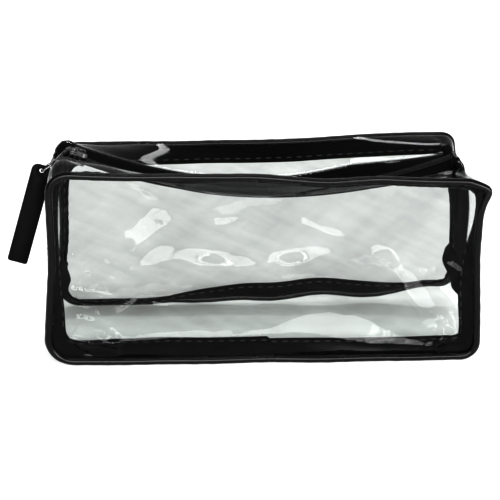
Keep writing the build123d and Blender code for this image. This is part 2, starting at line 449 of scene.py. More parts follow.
def black_vinyl():
    """Glossy black sleeve with a faint pucker and worn, slightly duller patches."""
    mat, tree, out = material("piping_vinyl")
    shader = principled(tree, out, (0.002, 0.002, 0.0022), 0.2, Specular_IOR_Level=0.2)
    shader.inputs["Coat Weight"].default_value = 0.08
    shader.inputs["Coat Roughness"].default_value = 0.08
    wear = noise(tree, 90.0, 4.0)
    tree.links.new(spread(tree, wear, 0.14, 0.36), shader.inputs["Roughness"])
    pucker = bump_from(tree, noise(tree, 300.0, 2.0), 0.25, 0.0005)
    grain = bump_from(tree, noise(tree, 1800.0, 2.0), 0.12, 0.0001, pucker)
    tree.links.new(grain, shader.inputs["Normal"])
    return mat


def woven(name, colour, rib_mm, roughness, slant=0.0):
    """Black woven tape: crossed ribs, each about rib_mm wide, with painted shade in the grooves and
    painted highlight on the ribs, mottled by noise.
    """
    mat, tree, out = material(name)
    shader = principled(
        tree, out, colour, roughness, Sheen_Weight=0.006, Sheen_Roughness=0.5, Specular_IOR_Level=0.06
    )
    coords = node(tree, "ShaderNodeTexCoord")
    heights = []
    for turn in (slant, slant + np.pi / 2):
        mapping = node(tree, "ShaderNodeMapping")
        mapping.inputs["Rotation"].default_value = (turn, turn * 0.5, turn)
        tree.links.new(coords.outputs["Object"], mapping.inputs["Vector"])
        wave = node(tree, "ShaderNodeTexWave", bands_direction="DIAGONAL")
        wave.inputs["Scale"].default_value = np.pi / (20 * rib_mm * MM)
        wave.inputs["Distortion"].default_value = 0.6
        wave.inputs["Detail"].default_value = 1.0
        tree.links.new(mapping.outputs[0], wave.inputs["Vector"])
        heights.append(wave.outputs["Fac"])
    weave = node(tree, "ShaderNodeMath", operation="MAXIMUM")
    tree.links.new(heights[0], weave.inputs[0])
    tree.links.new(heights[1], weave.inputs[1])
    tree.links.new(bump_from(tree, weave.outputs[0], 0.5, 0.00012), shader.inputs["Normal"])
    # colour follows the ribs' height: painted shade in the grooves, painted highlight on the crests
    shade = node(tree, "ShaderNodeMix", data_type="RGBA")
    shade.inputs["A"].default_value = (*(c * 0.55 for c in colour), 1)
    shade.inputs["B"].default_value = (*(c * 1.6 for c in colour), 1)
    rib_shade_mask = node(tree, "ShaderNodeMath", operation="MULTIPLY")
    tree.links.new(weave.outputs[0], rib_shade_mask.inputs[0])
    tree.links.new(noise(tree, 700.0, 3.0), rib_shade_mask.inputs[1])
    tree.links.new(rib_shade_mask.outputs[0], shade.inputs["Factor"])
    tree.links.new(shade.outputs["Result"], shader.inputs["Base Color"])
    return mat


def nylon():
    """Black moulded coil filament."""
    mat, tree, out = material("zipper_coil")
    shader = principled(tree, out, (0.006, 0.006, 0.0065), 0.32, Specular_IOR_Level=0.4)
    tree.links.new(spread(tree, noise(tree, 900.0, 2.0), 0.24, 0.45), shader.inputs["Roughness"])
    return mat


def dark_nickel():
    """Plated zinc: dark, bright at its edges, with fine rubbed scratches."""
    mat, tree, out = material("metal")
    shader = principled(tree, out, (0.42, 0.42, 0.43), 0.22, Metallic=1.0)
    rub = noise(tree, 1400.0, 4.0, stretch=(1, 1, 6.5))
    tree.links.new(spread(tree, rub, 0.12, 0.38), shader.inputs["Roughness"])
    shade = node(tree, "ShaderNodeMix", data_type="RGBA")
    shade.inputs["A"].default_value = (0.10, 0.10, 0.105, 1)
    shade.inputs["B"].default_value = (0.30, 0.295, 0.29, 1)
    tree.links.new(noise(tree, 500.0, 3.0), shade.inputs["Factor"])
    tree.links.new(shade.outputs["Result"], shader.inputs["Base Color"])
    tree.links.new(bump_from(tree, rub, 0.15, 0.00005), shader.inputs["Normal"])
    return mat


def strap_rubber():
    """Matte black moulded strap with a fine pebble grain."""
    mat, tree, out = material("pull_tab")
    shader = principled(tree, out, (0.0025, 0.0025, 0.0028), 0.62, Specular_IOR_Level=0.12)
    cells = node(tree, "ShaderNodeTexVoronoi")
    cells.inputs["Scale"].default_value = 1500.0
    coords = node(tree, "ShaderNodeTexCoord")
    tree.links.new(coords.outputs["Object"], cells.inputs["Vector"])
    tree.links.new(bump_from(tree, cells.outputs["Distance"], 0.35, 0.00012), shader.inputs["Normal"])
    tree.links.new(spread(tree, noise(tree, 300.0, 3.0), 0.52, 0.74), shader.inputs["Roughness"])
    return mat


def cotton_cord():
    """Off-white twisted filler cord."""
    mat, tree, out = material("filler_cord")
    shader = principled(tree, out, (0.62, 0.60, 0.55), 0.85)
    tree.links.new(bump_from(tree, noise(tree, 900.0, 3.0), 0.4, 0.0003), shader.inputs["Normal"])
    return mat


def thread():
    """Black polyester thread, a little shiny."""
    mat, tree, out = material("thread")
    shader = principled(tree, out, (0.02, 0.02, 0.021), 0.4)
    tree.links.new(bump_from(tree, noise(tree, 2500.0, 2.0), 0.4, 0.0001), shader.inputs["Normal"])
    return mat


# Light let through where the sheet is clearest and where it is darkest, with haze and painted shade
VINYL = clear_vinyl("clear_vinyl", 0.81, 0.67)
# The base and strip sheets are clearer copies of the panels' vinyl: painted light that lifts the shade
# they lie in
BASE_VINYL = clear_vinyl("clear_vinyl_base", 0.975, 0.94)
STRIP_VINYL = clear_vinyl("clear_vinyl_strip", 0.89, 0.76)
PIPING = black_vinyl()
BINDING = woven("binding", (0.0016, 0.0016, 0.0018), 0.55, 0.8)
TAPE = woven("zipper_tape", (0.0035, 0.0035, 0.0038), 0.42, 0.78, slant=0.6)
COIL = nylon()
METAL = dark_nickel()
STRAP = strap_rubber()
CORD = cotton_cord()
THREAD = thread()

# ---- The two seams

FRONT = Seam(FRONT_SEAM, FRONT_TURNS, SEAM_Y, 0.4, [])
REAR = Seam(REAR_SEAM, REAR_TURNS, -SEAM_Y, 2.2, REAR_LIFTS)
SEAMS = {"front": FRONT, "rear": REAR}
RING = np.arange(FRONT.count)


def softened(seam, u, deep):
    """The seam's ring moved inward by u, with the corners' crowding smoothed away.

    The further in it is moved, the more it is smoothed.
    """
    return smooth_ring(seam.point(RING, u, deep), int(max(0, np.max(u) - 1) * 9))


def make_piping(side, seam):
    """The glossy bead along a seam, with its filler cord inside."""
    turns = np.linspace(0, 2 * np.pi, 14, endpoint=False)
    lump = 1 + 0.035 * np.sin(RING * 0.9) * np.sin(RING * 0.13 + 1)
    for name, radius, mat, slot, replaced in (
        (side + "_bead", BEAD_R, PIPING, "piping_vinyl", side + "_piping"),
        (side + "_bead_filler", FILLER_R, CORD, "filler_cord", side + "_piping_cord"),
    ):
        rings = [
            seam.point(RING, radius * lump * np.cos(a), radius * lump * np.sin(a)) for a in turns
        ]
        piece = swept_ring(name, np.array(rings), mat)
        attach(piece, "bag")
        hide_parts(replaced)


# How each binding leans along its seam: 0 lies in the panel, 90 points straight through the
# bag. Keys are how far round the ring: 0..1 along the base, 1..2 up the right end, 2..3 back
# along the top and 3..4 down the left end.
LEANS = {
    "front": [
        (0, 50), (0.12, 44), (0.9, 42), (1.0, 46), (1.45, 42), (1.56, 58), (1.66, 82), (1.8, 92),
        (1.94, 86), (2.03, 62), (2.2, 58), (2.4, 62), (2.75, 60), (2.88, 78), (2.97, 84), (3.06, 76),
        (3.3, 76), (3.55, 74), (3.75, 54), (4, 50),
    ],
    "rear": [
        (0, 70), (0.06, 74), (0.18, 72), (0.3, 50), (0.42, 26), (0.6, 18), (0.74, 26), (0.85, 44),
        (0.95, 66), (1.1, 74), (1.5, 74), (1.75, 70), (1.95, 55), (2.04, 40), (2.2, 36), (2.9, 34),
        (3.0, 44), (3.1, 66), (3.5, 76), (3.8, 76), (4, 70),
    ],
}


BINDING_W, BINDING_T, BINDING_START = 10.0, 1.6, 1.7  # its start is measured from the seam's line
LAP_X, LAP_GROWTH = 3.8, 0.13  # where the front binding's lapped end stops, and how far it stands out


def ring_place():
    """How far round the ring each of its points is, a whole number at each turn."""
    stops = [0, RIGHT[0], TOP[0], LEFT[0], len(RING)]
    return np.interp(RING, stops, range(5))


def binding_section(side):
    """How the binding stands at each point of the ring: its angle and its width."""
    place = ring_place()
    seed = 0.7 if side == "front" else 2.9
    t = RING / len(RING) * 2 * np.pi
    knots = np.array(LEANS[side], float)
    lean = smooth_ring(np.interp(place, knots[:, 0], knots[:, 1]), 12)
    lean = lean + 3.5 * np.sin(9 * t + seed) + 2.5 * np.sin(17 * t + 2 * seed)
    if side == "rear":
        on_base = ease(place, 0.02, 0.2) * (1 - ease(place, 0.85, 1.0))
        ragged = 9 * np.sin(RING * 0.33) * np.sin(RING * 0.071) + 6 * np.sin(RING * 0.8 + 1)
        lean = lean - ragged * on_base
    width = BINDING_W + 0.35 * np.sin(9 * t + 3 * seed) + 0.25 * np.sin(23 * t + seed)
    return np.radians(lean), width


def binding_rings(side, seam):
    """Rings of a folded tape's section: out along one face, round the fold and back."""
    lean, width = binding_section(side)
    half = BINDING_T / 2
    stops = [0.0, 0.3, 0.62, 0.9, 0.985, 1.0, 0.985, 0.9, 0.62, 0.3, 0.0]
    sides = [0.8, 1.0, 1.06, 1.0, 0.6, 0.0, -0.6, -1.0, -1.06, -1.0, -0.8]
    rings = []
    for at, s in zip(stops, sides):
        reach = BINDING_START + width * at
        u = reach * np.cos(lean) + half * s * np.sin(lean)
        v = reach * np.sin(lean) - half * s * np.cos(lean)
        rings.append(softened(seam, u, v))
    return np.array(rings)


def run_stitches(row, first, spare, pitch, length):
    """Both ends of each stitch along a row of points; none starts less than spare before its end."""
    along = distances(row)
    return [
        [[np.interp(v, along, row[:, k]) for k in range(3)] for v in (at, at + length)]
        for at in np.arange(first, along[-1] - spare, pitch)
    ]


def make_binding(side, seam):
    """The folded tape over a seam's allowances, with its stitches."""
    rings = binding_rings(side, seam)
    if side == "front":
        # the tape's end laps over its start, in the middle of the base
        root = (rings[0] + rings[-1]) / 2
        lapped = ease(ring_place(), 0.02, 0.15) * (ring_place() < 1) * (seam.ring[:, 0] < LAP_X)
        rings = rings + (rings - root) * (LAP_GROWTH * lapped)[:, None]
    piece = swept_ring(side + "_binding_tape", rings, BINDING)
    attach(piece, "bag")
    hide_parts(side + "_binding")
    # stitches on both faces: the section's points 2 and 3 are on one face, 8 and 7 on the other
    ends = []
    for face, other, opposite in ((2, 3, 8), (8, 7, 2)):
        row = rings[face] * 0.45 + rings[other] * 0.55
        lift = rings[face] - rings[opposite]
        lift /= np.linalg.norm(lift, axis=1)[:, None]
        ends += run_stitches(row + lift * 0.12, first=0, spare=6, pitch=5.8, length=3.9)
    points, faces = capsules(ends, radius=0.33)
    stitches = make(side + "_binding_stitches", points, faces, THREAD)
    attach(stitches, "bag")


for side in SEAMS:
    make_piping(side, SEAMS[side])
    make_binding(side, SEAMS[side])

# ---- Panels

CREASES = {
    # a ridge's ends (x, z, x, z), its half width and its height, below 0 for a valley
    "front": [
        (-76, 59, -44, 85, 6.0, 3.4),
        (-30, 80, -2, 84, 2.6, 1.3),
        (-80, 57, -16, 58, 6.0, 2.8),
        (-44, 55, 34, 60, 5.0, 2.2),
        (12, 80, 48, 71, 2.6, 1.4),
        (-2, 54, 48, 63, 4.6, 2.1),
        (50, 53, 72, 62, 3.4, 1.9),
        (52, 70, 101, 8, 5.0, 4.2),
        (-82, 32, -62, 36, 2.6, 1.7),
        (-60, 33, -46, 37, 1.8, 1.1),
        (94, 46, 106, 18, 2.4, 2.0),
        (98, 60, 108, 40, 2.6, 1.0),
        (112, 30, 84, 8, 2.6, -1.4),
        (108, 12, 84, 26, 2.6, 1.2),
        (-108, 20, -92, 28, 1.8, 1.3),
        (-92, 22, -76, 10, 2.6, 2.0),
        (-84, 24, -74, 8, 1.6, 1.6),
        (-100, 34, -78, 26, 2.0, 1.3),
        (-104, 6, -96, 38, 1.8, 1.1),
        (-108, 12, -84, 6, 1.6, -1.0),
        (-104, 48, -74, 37, 1.6, 1.2),
        (-88, 40, -80, 12, 1.6, 0.8),
        (-108, 66, -86, 50, 2.6, 0.8),
    ],
    "rear": [
        (-100, 12, -60, 30, 4.0, 1.4),
        (96, 14, 58, 36, 4.0, 1.6),
        (-40, 60, 30, 70, 7.0, 1.5),
        (70, 84, 96, 60, 4.0, 1.2),
        (-90, 88, -50, 66, 3.4, 1.1),
        (40, 30, 84, 24, 3.6, 1.3),
    ],
}


# Crumpled corners: x, z, how far they reach and how high their wrinkles stand
CRUMPLES = [(-94, 20, 15, 0.75), (102, 18, 12, 0.6), (96, 7, 9, 0.5)]
BELLY = 1.4
ROLL_SLOPE = 0.42


def crease(x, z, line):
    """A ridge that wanders and swells, and fades out along its length and on both sides."""
    x0, z0, x1, z1, width, height = line
    d = np.array([x1 - x0, z1 - z0], float)
    length = np.linalg.norm(d)
    d /= length
    along = (x - x0) * d[0] + (z - z0) * d[1]
    across = (-(x - x0) * d[1] + (z - z0) * d[0]) * (1 if d[0] > 0 else -1)
    phase = x0 + z0
    across = across + 1.5 * np.sin(along / length * 5 + phase) + 0.5 * np.sin(along / 3.7 + phase)
    swell = 1 + 0.2 * np.sin(along / 5.3 + 2 * phase)
    fade = ease(along, 0, 0.25 * length) * (1 - ease(along, 0.7 * length, length))
    flank = np.where(across > 0, across / (1.7 * width), -across / (0.9 * width))
    return height * swell * fade * soft_peak(flank)


def soft_peak(t):
    """1 at 0, falling almost in a straight line to 0 at 1, with its turns rounded off."""
    return np.logaddexp(0, (1 - np.sqrt(t * t + 0.02)) * 12) / 12


# The roll along each panel over its base, as (x, height of its foot, height of its brow)
FOOT_BAND = np.array(
    [
        (-112, 15, 15.5), (-90, 15, 17), (-69, 14.7, 20), (-32, 17, 21.5), (-5, 16.4, 20.4),
        (8, 18, 23), (21, 20.3, 29.5), (37, 17.5, 31), (53, 13.6, 28), (66, 11.9, 21.5), (80, 10, 15),
        (110, 9, 10),
    ]
)


def foot_band(x):
    """The heights of the roll's foot and brow at x, with their corners softened."""
    places, *heights = FOOT_BAND.T
    nearby = (-5, -2, 2, 5)
    return [sum(np.interp(x + d, places, height) for d in nearby) / len(nearby) for height in heights]


def relief(side, x, z, u, v):
    """How far a panel stands out: a soft belly, rolls, creases and crumpled corners."""
    edge = ease(u, 0, 0.05) * ease(1 - u, 0, 0.05) * ease(v, 0, 0.05) * ease(1 - v, 0, 0.3)
    belly = BELLY * np.sin(np.pi * u) ** 0.6 * np.sin(np.pi * v) ** 0.8
    seed = 3 if side == "front" else 11
    calm = 0.25 + 0.75 * ease(z, 18, 42)
    rolls = 0.9 * waves(x, 1.6 * z, seed, 6, 20.0) + 0.28 * waves(x, 1.3 * z, seed + 1, 7, 6.0)
    fine = 0.07 * waves(x, 1.2 * z, seed + 2, 9, 2.2)
    low, high = foot_band(x)
    ramp = np.logaddexp(0, (high - np.maximum(z, low)) * 1.2) / 1.2 * ROLL_SLOPE
    foot_roll = ramp * ease(z, 2, low)
    out = belly + rolls * calm + fine + foot_roll
    for cx, cz, reach, height in CRUMPLES:
        near = np.exp(-(((x - cx) ** 2 + (z - cz) ** 2) / reach**2))
        out = out + height * near * waves(x + 0.4 * z, 0.8 * z - 0.3 * x, seed + 5, 7, 1.5)
    for line in CREASES[side]:
        out = out + crease(x, z, line)
    return out * edge


def finer(run, steps):
    """A run of points with more points between them."""
    k = np.linspace(0, len(run) - 1, steps + 1)
    return np.stack([np.interp(k, np.arange(len(run)), run[:, j]) for j in range(3)], -1)


def make_panel(side, seam):
    """A clear panel inside its seam, as one sheet with soft waves and creases."""
    edge = seam.point(RING, BEAD_R * 0.8)
    bottom = edge[BOTTOM[0] : BOTTOM[1] + 1]
    right = edge[RIGHT[0] : RIGHT[1] + 1]
    top = edge[TOP[0] : TOP[1] + 1][::-1]
    left = np.concatenate([edge[LEFT[0] :], edge[:1]])[::-1]
    wide, high = 2 * SIDE_STEPS, 2 * END_STEPS
    bottom, top = finer(bottom, wide), finer(top, wide)
    left, right = finer(left, high), finer(right, high)
    u = np.linspace(0, 1, wide + 1)[:, None, None]
    v = np.linspace(0, 1, high + 1)[None, :, None]
    grid = (
        (1 - v) * bottom[:, None]
        + v * top[:, None]
        + (1 - u) * left[None]
        + u * right[None]
        - (1 - u) * (1 - v) * bottom[0]
        - u * (1 - v) * bottom[-1]
        - (1 - u) * v * top[0]
        - u * v * top[-1]
    )
    outward = -1 if side == "front" else 1
    x, z = grid[..., 0], grid[..., 2]
    grid[..., 1] += outward * relief(side, x, z, u[..., 0] + 0 * z, v[..., 0] + 0 * z)
    piece = surface(side + "_clear_panel", grid, VINYL)
    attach(piece, "bag")
    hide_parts(side + "_panel")


for side in SEAMS:
    make_panel(side, SEAMS[side])

# ---- The zipper's line, over the corners and down both ends

FOOT_Z = CROSS_Z + 1.0
FOLDS = {-1: (2.6, 2.2, 5.5), 1: (3.6, 6.5, 1.4)}  # side: reach past the chain, radius, foot's lean


def chain_height(x):
    """Height of the tape's middle over the mouth."""
    return CHAIN_Z - np.sqrt(CHAIN_R**2 - (np.asarray(x, float) - CHAIN_X) ** 2)


def end_line(side):
    """The chain's line from its end over the top corner and down to the cross seam."""
    reach, radius, lean = FOLDS[side]
    x = CHAIN_RIGHT if side > 0 else CHAIN_LEFT
    slope = np.arcsin((x - CHAIN_X) / CHAIN_R)
    end = np.array([x, chain_height(x)])
    corner = end + side * reach * np.array([np.cos(slope), np.sin(slope)])
    foot = np.array([corner[0] + side * lean, FOOT_Z])
    before, after = end - corner, foot - corner
    before /= np.linalg.norm(before)
    after /= np.linalg.norm(after)
    cut = radius * np.tan((np.pi - np.arccos(before @ after)) / 2)
    a, c = corner + before * cut, corner + after * cut
    t = np.linspace(0, 1, 13)[:, None]
    arc = (1 - t) ** 2 * a + 2 * t * (1 - t) * corner + t * t * c
    return np.concatenate([end[None], arc[:7]]), np.concatenate([arc[6:], foot[None]])


def first_at(seam, span, z):
    """The ring's point in a stretch that is nearest to a height."""
    k = np.arange(*span)
    return int(k[np.argmin(np.abs(seam.ring[k, 1] - z))])


LEFT_FOOT = first_at(FRONT, LEFT, FOOT_Z)
RIGHT_FOOT = first_at(FRONT, RIGHT, FOOT_Z)
STATIONS = np.arange(LEFT_FOOT, RIGHT_FOOT - 1, -1)  # seam points from the left foot to the right one
MIDDLE = LEFT_FOOT - (TOP[0] + TOP[1]) // 2  # the station where the moving pieces are halved


def zip_line():
    """The tape's middle line and its outward direction at each station."""
    top_left, down_left = end_line(-1)
    top_right, down_right = end_line(1)
    x = np.linspace(CHAIN_LEFT, CHAIN_RIGHT, 400)
    arc = np.stack([x, chain_height(x)], -1)
    top = np.concatenate([top_left[::-1], arc[1:-1], top_right])
    line = np.concatenate(
        [
            resample(down_left[::-1], LEFT_FOOT - TOP[1] + 1)[:-1],
            resample(top, TOP[1] - TOP[0] + 1)[:-1],
            resample(down_right, TOP[0] - RIGHT_FOOT + 1),
        ]
    )
    ahead = np.gradient(line, axis=0)
    ahead /= np.linalg.norm(ahead, axis=1)[:, None]
    out = np.stack([-ahead[:, 1], ahead[:, 0]], -1)
    return line, out


ZIP, ZIP_OUT = zip_line()
ZIP_X, ZIP_Z = ZIP[:, 0].copy(), ZIP[:, 1].copy()
ON_LEFT, ON_RIGHT = STATIONS > TOP[1], STATIONS < TOP[0]
# the left end bows out below its corner
ZIP[:, 0] -= ON_LEFT * 3.6 * ease(ZIP_Z, FOOT_Z - 14, FOOT_Z + 16) * (1 - ease(ZIP_Z, 74, 97))

# How far the tape's edges stand off the chain's line along the mouth, as (x, lift)
EDGE_LIFTS = {
    -1: [(-106, 2.2), (-101, 2.0), (-91, 5.4), (-80, 6.2), (-60, 4.2), (-30, 2.6), (20, 2.0),
         (60, 1.4), (84, -0.6), (95, -2.6), (110, -5.0)],
    1: [(-106, 2.4), (-80, 3.0), (-40, 2.6), (10, 3.2), (38, 5.2), (52, 6.4), (66, 5.0), (79, 2.8),
        (95, -0.1), (110, -4.0)],
}


def edge_lift(sign):
    """How far the tape's edge lifts off the chain's line at each station."""
    knots = np.array(EDGE_LIFTS[sign], float)
    lift = np.interp(ZIP_X, knots[:, 0], knots[:, 1])
    if sign < 0:
        left = 1.0 + 3.6 * bump(ZIP_Z, 97, 9)
        right = 0.4 - 1.5 * bump(ZIP_Z, 97, 12) + 1.0 * bump(ZIP_Z, 80, 14)
    else:
        left = 1.0 + 6.4 * bump(ZIP_Z, 96, 10)
        right = 0.4 - 4.4 * bump(ZIP_Z, 82, 17)
    lift = np.where(ON_LEFT, left, np.where(ON_RIGHT, right, lift))
    # smoothed along the tape
    weights = np.hanning(19)[1:-1]
    return np.convolve(np.pad(lift, 8, mode="edge"), weights / weights.sum(), mode="valid")


EDGE_LIFT = {sign: edge_lift(sign) for sign in EDGE_LIFTS}
# 1 where the half tapes meet, past the chain's ends
CLOSED = np.where(ON_LEFT, 1 - ease(ZIP_Z, 92, 99), np.where(ON_RIGHT, 1 - ease(ZIP_Z, 96, 101), 0.0))


def tape_point(sign, y_in, rise=0.0):
    """Points of a half tape at a distance from the chain's middle, at every station."""
    up = EDGE_LIFT[sign] * ease(y_in, 3.6, 15.0) + rise
    xz = ZIP + ZIP_OUT * np.asarray(up)[..., None]
    y = sign * (y_in - CLOSED * max(0.0, 1 - y_in / 4.0) * 0.57)
    return np.stack([xz[:, 0], y, xz[:, 1]], -1)


# Each half's stations, and the places in metres where its blend starts and ends
HALVES = {
    "left": (slice(0, MIDDLE + 1), (-0.091, 0, 0.1), (-0.020, 0, 0.1)),
    "right": (slice(MIDDLE, None), (0.091, 0, 0.1), (0.028, 0, 0.1)),
}
LIPS = {"front": -1, "rear": 1}


def moving(piece):
    """The piece's placement baked into its mesh."""
    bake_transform(piece)


def make_tape(lip, half):
    """Half the length of a half tape, woven, with raised cords beside the coil and at its edge."""
    sign = LIPS[lip]
    cut = HALVES[half][0]
    ridge = {4.3: 0.2, 6.1: 0.16, 7.9: 0.16, 9.7: 0.16, 14.0: 0.2}
    across = sorted([0.6, 1.6, 3.0, 15.0] + [at + step for at in ridge for step in (-0.4, 0, 0.4)])
    over = np.stack([tape_point(sign, a, 0.3 + ridge.get(a, 0))[cut] for a in across], 1)
    under = np.stack([tape_point(sign, a, -0.3)[cut] for a in across], 1)
    if sign < 0:
        over, under = over[:, ::-1], under[:, ::-1]
    piece = slab(lip + "_tape_" + half, over, under, TAPE)
    moving(piece)
    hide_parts(lip + "_lip_tape", lip + "_tape_ends")


TOOTH_PITCH = 1.27
WIRE_R = 0.29
# A loop's path: distance from the chain's middle, height, and how many times WIRE_R it is thick
TOOTH_PATH = np.array(
    [
        (3.05, 0.62, 1), (2.9, 1.15, 1), (2.5, 1.5, 1), (1.2, 1.56, 1), (0.2, 1.5, 1.02),
        (-0.3, 1.1, 1.04), (0.2, 0.68, 1), (2.6, 0.62, 1),
    ]
)
COIL_MIDDLE = 4.0  # where a coil's halves meet
COIL_SPANS = {"left": (CHAIN_LEFT, COIL_MIDDLE), "right": (COIL_MIDDLE, CHAIN_RIGHT - 1.9)}
CORD_SPANS = {"left": (CHAIN_LEFT + 0.2, COIL_MIDDLE), "right": (COIL_MIDDLE + 0.2, CHAIN_RIGHT - 2.1)}


def over_chain(x, y, height):
    """Points at a height over the chain's circle."""
    z = chain_height(x)
    lean = height / CHAIN_R
    return np.stack([x + (CHAIN_X - x) * lean, y, z + (CHAIN_Z - z) * lean], -1)


def coil_loop(x, sign):
    """One moulded loop: rows of points round its wire."""
    path = TOOTH_PATH[:, :2]
    ahead = np.gradient(path, axis=0)
    ahead /= np.linalg.norm(ahead, axis=1)[:, None]
    wire = WIRE_R * TOOTH_PATH[:, 2:]
    across = wire * np.cos(SIX_TURNS)
    y_in = path[:, :1] - ahead[:, 1:] * across
    height = path[:, 1:] + ahead[:, :1] * across
    return over_chain(x + wire * np.sin(SIX_TURNS), sign * y_in, height)


def coil_cord(half, sign):
    """The cord under the loops' outer bends: rows of points round it."""
    x, turn = np.meshgrid(np.linspace(*CORD_SPANS[half], 90), SIX_TURNS, indexing="ij")
    return over_chain(x, sign * (2.3 + 0.45 * np.cos(turn)), 0.72 + 0.42 * np.sin(turn))


def make_coil(lip, half):
    """The moulded loops of half a coil, and the cord that they are sewn down on."""
    sign = LIPS[lip]
    low, high = COIL_SPANS[half]
    # the rear coil's loops stand between the front one's
    shift = 0.5 * TOOTH_PITCH if lip == "rear" else 0
    places = np.arange(-90, 90) * TOOTH_PITCH + COIL_MIDDLE + shift + 0.3
    tubes = [coil_loop(x, sign) for x in places if low + 0.4 < x < high - 0.4]
    points, faces = [], []
    for tube in tubes + [coil_cord(half, sign)]:
        faces += tube_faces(*tube.shape[:2], len(points))
        points += tube.reshape(-1, 3).tolist()
    piece = make(lip + "_coil_" + half, points, faces, COIL)
    recalculated(piece)
    moving(piece)
    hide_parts(lip + "_lip_coil", lip + "_coil_ends")


def recalculated(piece):
    """Face directions made consistent and outward."""
    work = bmesh.new()
    work.from_mesh(piece.data)
    bmesh.ops.recalc_face_normals(work, faces=work.faces)
    work.to_mesh(piece.data)
    work.free()


# ---- Clear strips between the seams and the tape


SEAM_HOLD = (-1.0, 1.85)  # where the clear strips meet a seam: inward, and towards the bag's middle


def strip_grid(lip):
    """A clear strip from its seam's bead, over the tape's edge, at every station."""
    sign = LIPS[lip]
    start = SEAMS[lip].point(STATIONS, *SEAM_HOLD)
    edge = tape_point(sign, 15.6, 0.3)
    lap = [tape_point(sign, a, 0.62) for a in (14.6, 13.2, 11.8)]
    seed = 21 if lip == "front" else 34
    lift = 2.0 * bump(ZIP_X, -70, 22) if lip == "front" else -1.5 * bump(ZIP_X, 10, 60)
    along = np.arange(len(ZIP)) * 1.45
    rows = []
    for v in np.linspace(0, 1, 15):
        ripple = waves(along, v * 30, seed, 6, 13.0)
        amount = np.sin(np.pi * v) * (0.6 + 1.1 * ripple + lift)
        place = start * (1 - v) + edge * v
        place[:, ::2] += ZIP_OUT * amount[:, None]
        rows.append(place)
    return np.stack(rows + lap, 1)


def make_strip(lip, half):
    """Half the length of a clear strip, with the stitches that hold it to the tape."""
    cut = HALVES[half][0]
    name = lip + "_strip_" + half
    piece = surface(name, strip_grid(lip)[cut], STRIP_VINYL)
    moving(piece)
    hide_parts(lip + "_lip_strip", lip + "_strip_ends")
    row = tape_point(LIPS[lip], 13.2, 0.78)[cut]
    ends = run_stitches(row, first=0.8, spare=3, pitch=3.2, length=2.2)
    points, faces = capsules(ends, radius=0.2)
    stitches = make(name + "_stitches", points, faces, THREAD)
    moving(stitches)


for lip in LIPS:
    for half in HALVES:
        make_tape(lip, half)
        make_coil(lip, half)
        make_strip(lip, half)

# ---- Gusset: one strip for the lower half of both ends and the base


def make_gusset():
    """The clear strip from one cross seam, under the bag and up to the other."""
    left = first_at(FRONT, LEFT, CROSS_Z)
    right = first_at(FRONT, RIGHT, CROSS_Z)
    k = np.arange(left, right + FRONT.count + 1)
    front, rear = FRONT.point(k, *SEAM_HOLD), REAR.point(k, *SEAM_HOLD)
    along = np.arange(len(k)) * 1.5
    outward = -(FRONT.inward[k % FRONT.count] + REAR.inward[k % FRONT.count]) / 2
    end_share = ease(np.abs(front[:, 0]), 100, 113)
    foot_x = np.where(front[:, 0] < 0, ZIP_X[0], ZIP_X[-1])
    rows = []
    for v in np.linspace(0, 1, 41):
        share = ease(v, 0, 1)
        place = front * (1 - share) + rear * share
        place[:, 1] = front[:, 1] * (1 - v) + rear[:, 1] * v
        y_in = abs(v - 0.5) * 2
        flush = ease(1 - y_in, 0.0, 0.06)
        ripple = 0.8 * waves(along, v * 76, 51, 7, 15.0)
        # the base lies on the floor, and the ends bow in towards the zipper's foot
        amount = flush * (0.55 + 0.25 * ripple)
        place[:, 0] += outward[:, 0] * amount
        place[:, 2] += outward[:, 1] * amount
        reach = ease(front[:, 2], 14, CROSS_Z) * end_share * ease(1 - y_in, 0.05, 0.62)
        place[:, 0] = place[:, 0] * (1 - reach) + foot_x * reach
        place[:, 0] += end_share * flush * ease(front[:, 2], 3, 14) * (1 - reach) * 1.1 * ripple
        place[:, 2] = np.maximum(place[:, 2], 0.12)
        rows.append(place)
    grid = np.stack(rows, 1)
    piece = surface("gusset_sheet", grid[:, ::-1], BASE_VINYL)
    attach(piece, "bag")
    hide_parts("bottom_gusset")
    return grid


GUSSET = make_gusset()


def make_cross_binding(name, edge, side):
    """The folded tape over the seam between the zipper's foot and the gusset."""
    inner = edge[3:-3]
    y = inner[:, 1]
    tilt = np.radians(58 + 8 * np.sin(y / 9 + side))
    reach = BINDING_W + 0.4 * np.sin(y / 5)
    profile = [(0.0, 0.8), (0.3, 0.9), (0.7, 0.9), (0.95, 0.7), (1.0, 0.0)]
    profile += [(0.95, -0.7), (0.7, -0.9), (0.3, -0.9), (0.0, -0.8)]
    rows = []
    for at, thick in profile:
        x = inner[:, 0] - side * (0.5 + reach * at * np.cos(tilt)) + side * thick * np.sin(tilt) * 0.3
        z = inner[:, 2] + 0.4 - reach * at * np.sin(tilt) + thick
        rows.append(np.stack([x, y, z], -1))
    faces = tube_faces(len(inner), len(profile))
    piece = make(name + "_tape", np.stack(rows, 1), faces, BINDING)
    recalculated(piece)
    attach(piece, "bag")
    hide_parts(name)


make_cross_binding("left_cross_binding", GUSSET[0], -1)
make_cross_binding("right_cross_binding", GUSSET[-1], 1)

# ---- Metal keeps its imported shapes, with a new material

for name in ("slider_body", "bail", "pull_ring", "bottom_stop"):
    materials = frame["nodes"][name].data.materials
    materials.clear()
    materials.append(METAL)

# ---- The pull's strap


SLOT = np.array(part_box("pull_ring")[0])[[0, 2]] / MM + 0.6  # the slot's middle, round the ring's foot
STRAP_FOOT = np.array(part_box("pull_tab")[0])[[0, 2]] / MM + (4.97, 1.4)
STRAP_LENGTH = np.linalg.norm(STRAP_FOOT - SLOT)
STRAP_HEAD, STRAP_HALF_W, STRAP_HALF_T = 3.2, 5.5, 1.0  # the head is what reaches past the slot
